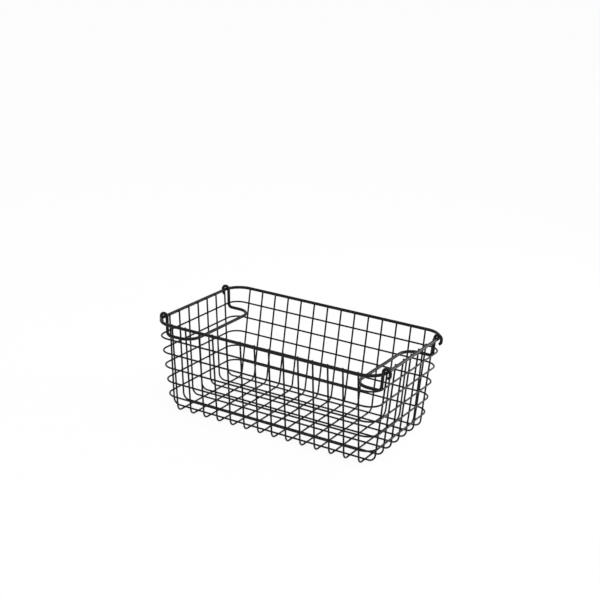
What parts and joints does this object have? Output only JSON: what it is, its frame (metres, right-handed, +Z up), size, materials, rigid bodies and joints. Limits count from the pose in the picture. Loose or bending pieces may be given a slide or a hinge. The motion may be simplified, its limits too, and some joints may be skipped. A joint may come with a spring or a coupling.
{
  "type": "wire display basket",
  "caption": "Rectangular welded wire mesh basket with a thicker rim and bail handles that fold in at its ends, for display and storage.",
  "frame": {"origin": "middle of the basket, on the surface that it stands on", "axes": "+X along the basket's length from the left handle to the right one, +Y from front to back, +Z up"},
  "size_m": [0.4068, 0.2336, 0.1588],
  "materials": {
    "rim_coat": "satin black powder coat on steel wire",
    "mesh_coat": "satin black powder coat on steel wire",
    "handle_coat": "satin black powder coat on steel wire"
  },
  "bodies": {
    "basket": {"rim": "rim_coat", "ring_1": "mesh_coat", "ring_2": "mesh_coat", "ring_3": "mesh_coat", "ring_4": "mesh_coat", "ring_5": "mesh_coat", "cross_wire_01": "mesh_coat", "cross_wire_02": "mesh_coat", "cross_wire_03": "mesh_coat", "cross_wire_04": "mesh_coat", "cross_wire_05": "mesh_coat", "cross_wire_06": "mesh_coat", "cross_wire_07": "mesh_coat", "cross_wire_08": "mesh_coat", "cross_wire_09": "mesh_coat", "cross_wire_10": "mesh_coat", "cross_wire_11": "mesh_coat", "cross_wire_12": "mesh_coat", "cross_wire_13": "mesh_coat", "cross_wire_14": "mesh_coat", "long_wire_1": "mesh_coat", "long_wire_2": "mesh_coat", "long_wire_3": "mesh_coat", "long_wire_4": "mesh_coat", "long_wire_5": "mesh_coat", "long_wire_6": "mesh_coat", "long_wire_7": "mesh_coat"},
    "left_handle": {"handle_left": "handle_coat"},
    "right_handle": {"handle_right": "handle_coat"}
  },
  "joints": [
    {"name": "left_handle_swing", "type": "hinge", "parent": "basket", "child": "left_handle", "pos_m": [-0.1955, 0, 0.151], "axis": [0, -1, 0], "range_deg": [0, 303]},
    {"name": "right_handle_swing", "type": "hinge", "parent": "basket", "child": "right_handle", "pos_m": [0.1955, 0, 0.151], "axis": [0, 1, 0], "range_deg": [0, 303]}
  ]
}
